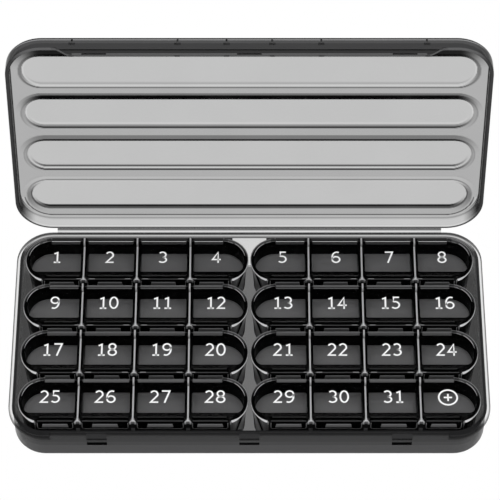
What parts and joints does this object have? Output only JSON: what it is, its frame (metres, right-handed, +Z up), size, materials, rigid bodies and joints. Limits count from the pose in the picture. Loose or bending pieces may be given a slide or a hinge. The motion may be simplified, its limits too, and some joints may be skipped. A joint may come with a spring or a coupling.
{
  "type": "pill organizer",
  "caption": "Long hinged case of smoky clear plastic, shown open, with rows of lift-out trays whose lidded compartments each keep one day's pills.",
  "frame": {"origin": "middle of the case's flat underside", "axes": "+X along the case, -Y towards the snap catches at the front, +Z up; the case lid stands open at 99.35 degrees and the compartment lids are shut"},
  "size_m": [0.22, 0.1402, 0.1345],
  "materials": {
    "smoke_case": "polished smoky clear",
    "smoke_cover": "polished smoky clear",
    "smoke_hinge": "thin flexing web of the same smoky clear plastic",
    "smoke_tray": "polished dark smoky clear",
    "smoke_lid": "polished smoky clear"
  },
  "bodies": {
    "base": {"base_shell": "smoke_case", "hinge_web": "smoke_hinge"},
    "cover": {"case_lid": "smoke_cover"},
    "tray_1_left": {"tray_1_left": "smoke_tray"},
    "lid_01": {"lid_01": "smoke_lid"},
    "lid_02": {"lid_02": "smoke_lid"},
    "lid_03": {"lid_03": "smoke_lid"},
    "lid_04": {"lid_04": "smoke_lid"},
    "tray_1_right": {"tray_1_right": "smoke_tray"},
    "lid_05": {"lid_05": "smoke_lid"},
    "lid_06": {"lid_06": "smoke_lid"},
    "lid_07": {"lid_07": "smoke_lid"},
    "lid_08": {"lid_08": "smoke_lid"},
    "tray_2_left": {"tray_2_left": "smoke_tray"},
    "lid_09": {"lid_09": "smoke_lid"},
    "lid_10": {"lid_10": "smoke_lid"},
    "lid_11": {"lid_11": "smoke_lid"},
    "lid_12": {"lid_12": "smoke_lid"},
    "tray_2_right": {"tray_2_right": "smoke_tray"},
    "lid_13": {"lid_13": "smoke_lid"},
    "lid_14": {"lid_14": "smoke_lid"},
    "lid_15": {"lid_15": "smoke_lid"},
    "lid_16": {"lid_16": "smoke_lid"},
    "tray_3_left": {"tray_3_left": "smoke_tray"},
    "lid_17": {"lid_17": "smoke_lid"},
    "lid_18": {"lid_18": "smoke_lid"},
    "lid_19": {"lid_19": "smoke_lid"},
    "lid_20": {"lid_20": "smoke_lid"},
    "tray_3_right": {"tray_3_right": "smoke_tray"},
    "lid_21": {"lid_21": "smoke_lid"},
    "lid_22": {"lid_22": "smoke_lid"},
    "lid_23": {"lid_23": "smoke_lid"},
    "lid_24": {"lid_24": "smoke_lid"},
    "tray_4_left": {"tray_4_left": "smoke_tray"},
    "lid_25": {"lid_25": "smoke_lid"},
    "lid_26": {"lid_26": "smoke_lid"},
    "lid_27": {"lid_27": "smoke_lid"},
    "lid_28": {"lid_28": "smoke_lid"},
    "tray_4_right": {"tray_4_right": "smoke_tray"},
    "lid_29": {"lid_29": "smoke_lid"},
    "lid_30": {"lid_30": "smoke_lid"},
    "lid_31": {"lid_31": "smoke_lid"},
    "lid_32": {"lid_32": "smoke_lid"}
  },
  "joints": [
    {"name": "case_lid_hinge", "type": "hinge", "parent": "base", "child": "cover", "pos_m": [0, 0.0578, 0.02055], "axis": [-1, 0, 0], "range_deg": [-99.35, 80.65]},
    {"name": "tray_1_left_lift", "type": "slide", "parent": "base", "child": "tray_1_left", "axis": [0, 0, 1], "range_m": [0, 0.04]},
    {"name": "lid_01_hinge", "type": "hinge", "parent": "tray_1_left", "child": "lid_01", "pos_m": [-0.09035, 0.0496, 0.022], "axis": [-1, 0, 0], "range_deg": [0, 105]},
    {"name": "lid_02_hinge", "type": "hinge", "parent": "tray_1_left", "child": "lid_02", "pos_m": [-0.06535, 0.0496, 0.022], "axis": [-1, 0, 0], "range_deg": [0, 105]},
    {"name": "lid_03_hinge", "type": "hinge", "parent": "tray_1_left", "child": "lid_03", "pos_m": [-0.04035, 0.0496, 0.022], "axis": [-1, 0, 0], "range_deg": [0, 105]},
    {"name": "lid_04_hinge", "type": "hinge", "parent": "tray_1_left", "child": "lid_04", "pos_m": [-0.01535, 0.0496, 0.022], "axis": [-1, 0, 0], "range_deg": [0, 105]},
    {"name": "tray_1_right_lift", "type": "slide", "parent": "base", "child": "tray_1_right", "axis": [0, 0, 1], "range_m": [0, 0.04]},
    {"name": "lid_05_hinge", "type": "hinge", "parent": "tray_1_right", "child": "lid_05", "pos_m": [0.01535, 0.0496, 0.022], "axis": [-1, 0, 0], "range_deg": [0, 105]},
    {"name": "lid_06_hinge", "type": "hinge", "parent": "tray_1_right", "child": "lid_06", "pos_m": [0.04035, 0.0496, 0.022], "axis": [-1, 0, 0], "range_deg": [0, 105]},
    {"name": "lid_07_hinge", "type": "hinge", "parent": "tray_1_right", "child": "lid_07", "pos_m": [0.06535, 0.0496, 0.022], "axis": [-1, 0, 0], "range_deg": [0, 105]},
    {"name": "lid_08_hinge", "type": "hinge", "parent": "tray_1_right", "child": "lid_08", "pos_m": [0.09035, 0.0496, 0.022], "axis": [-1, 0, 0], "range_deg": [0, 105]},
    {"name": "tray_2_left_lift", "type": "slide", "parent": "base", "child": "tray_2_left", "axis": [0, 0, 1], "range_m": [0, 0.04]},
    {"name": "lid_09_hinge", "type": "hinge", "parent": "tray_2_left", "child": "lid_09", "pos_m": [-0.09035, 0.0236, 0.022], "axis": [-1, 0, 0], "range_deg": [0, 105]},
    {"name": "lid_10_hinge", "type": "hinge", "parent": "tray_2_left", "child": "lid_10", "pos_m": [-0.06535, 0.0236, 0.022], "axis": [-1, 0, 0], "range_deg": [0, 105]},
    {"name": "lid_11_hinge", "type": "hinge", "parent": "tray_2_left", "child": "lid_11", "pos_m": [-0.04035, 0.0236, 0.022], "axis": [-1, 0, 0], "range_deg": [0, 105]},
    {"name": "lid_12_hinge", "type": "hinge", "parent": "tray_2_left", "child": "lid_12", "pos_m": [-0.01535, 0.0236, 0.022], "axis": [-1, 0, 0], "range_deg": [0, 105]},
    {"name": "tray_2_right_lift", "type": "slide", "parent": "base", "child": "tray_2_right", "axis": [0, 0, 1], "range_m": [0, 0.04]},
    {"name": "lid_13_hinge", "type": "hinge", "parent": "tray_2_right", "child": "lid_13", "pos_m": [0.01535, 0.0236, 0.022], "axis": [-1, 0, 0], "range_deg": [0, 105]},
    {"name": "lid_14_hinge", "type": "hinge", "parent": "tray_2_right", "child": "lid_14", "pos_m": [0.04035, 0.0236, 0.022], "axis": [-1, 0, 0], "range_deg": [0, 105]},
    {"name": "lid_15_hinge", "type": "hinge", "parent": "tray_2_right", "child": "lid_15", "pos_m": [0.06535, 0.0236, 0.022], "axis": [-1, 0, 0], "range_deg": [0, 105]},
    {"name": "lid_16_hinge", "type": "hinge", "parent": "tray_2_right", "child": "lid_16", "pos_m": [0.09035, 0.0236, 0.022], "axis": [-1, 0, 0], "range_deg": [0, 105]},
    {"name": "tray_3_left_lift", "type": "slide", "parent": "base", "child": "tray_3_left", "axis": [0, 0, 1], "range_m": [0, 0.04]},
    {"name": "lid_17_hinge", "type": "hinge", "parent": "tray_3_left", "child": "lid_17", "pos_m": [-0.09035, -0.0024, 0.022], "axis": [-1, 0, 0], "range_deg": [0, 105]},
    {"name": "lid_18_hinge", "type": "hinge", "parent": "tray_3_left", "child": "lid_18", "pos_m": [-0.06535, -0.0024, 0.022], "axis": [-1, 0, 0], "range_deg": [0, 105]},
    {"name": "lid_19_hinge", "type": "hinge", "parent": "tray_3_left", "child": "lid_19", "pos_m": [-0.04035, -0.0024, 0.022], "axis": [-1, 0, 0], "range_deg": [0, 105]},
    {"name": "lid_20_hinge", "type": "hinge", "parent": "tray_3_left", "child": "lid_20", "pos_m": [-0.01535, -0.0024, 0.022], "axis": [-1, 0, 0], "range_deg": [0, 105]},
    {"name": "tray_3_right_lift", "type": "slide", "parent": "base", "child": "tray_3_right", "axis": [0, 0, 1], "range_m": [0, 0.04]},
    {"name": "lid_21_hinge", "type": "hinge", "parent": "tray_3_right", "child": "lid_21", "pos_m": [0.01535, -0.0024, 0.022], "axis": [-1, 0, 0], "range_deg": [0, 105]},
    {"name": "lid_22_hinge", "type": "hinge", "parent": "tray_3_right", "child": "lid_22", "pos_m": [0.04035, -0.0024, 0.022], "axis": [-1, 0, 0], "range_deg": [0, 105]},
    {"name": "lid_23_hinge", "type": "hinge", "parent": "tray_3_right", "child": "lid_23", "pos_m": [0.06535, -0.0024, 0.022], "axis": [-1, 0, 0], "range_deg": [0, 105]},
    {"name": "lid_24_hinge", "type": "hinge", "parent": "tray_3_right", "child": "lid_24", "pos_m": [0.09035, -0.0024, 0.022], "axis": [-1, 0, 0], "range_deg": [0, 105]},
    {"name": "tray_4_left_lift", "type": "slide", "parent": "base", "child": "tray_4_left", "axis": [0, 0, 1], "range_m": [0, 0.04]},
    {"name": "lid_25_hinge", "type": "hinge", "parent": "tray_4_left", "child": "lid_25", "pos_m": [-0.09035, -0.0284, 0.022], "axis": [-1, 0, 0], "range_deg": [0, 105]},
    {"name": "lid_26_hinge", "type": "hinge", "parent": "tray_4_left", "child": "lid_26", "pos_m": [-0.06535, -0.0284, 0.022], "axis": [-1, 0, 0], "range_deg": [0, 105]},
    {"name": "lid_27_hinge", "type": "hinge", "parent": "tray_4_left", "child": "lid_27", "pos_m": [-0.04035, -0.0284, 0.022], "axis": [-1, 0, 0], "range_deg": [0, 105]},
    {"name": "lid_28_hinge", "type": "hinge", "parent": "tray_4_left", "child": "lid_28", "pos_m": [-0.01535, -0.0284, 0.022], "axis": [-1, 0, 0], "range_deg": [0, 105]},
    {"name": "tray_4_right_lift", "type": "slide", "parent": "base", "child": "tray_4_right", "axis": [0, 0, 1], "range_m": [0, 0.04]},
    {"name": "lid_29_hinge", "type": "hinge", "parent": "tray_4_right", "child": "lid_29", "pos_m": [0.01535, -0.0284, 0.022], "axis": [-1, 0, 0], "range_deg": [0, 105]},
    {"name": "lid_30_hinge", "type": "hinge", "parent": "tray_4_right", "child": "lid_30", "pos_m": [0.04035, -0.0284, 0.022], "axis": [-1, 0, 0], "range_deg": [0, 105]},
    {"name": "lid_31_hinge", "type": "hinge", "parent": "tray_4_right", "child": "lid_31", "pos_m": [0.06535, -0.0284, 0.022], "axis": [-1, 0, 0], "range_deg": [0, 105]},
    {"name": "lid_32_hinge", "type": "hinge", "parent": "tray_4_right", "child": "lid_32", "pos_m": [0.09035, -0.0284, 0.022], "axis": [-1, 0, 0], "range_deg": [0, 105]}
  ]
}
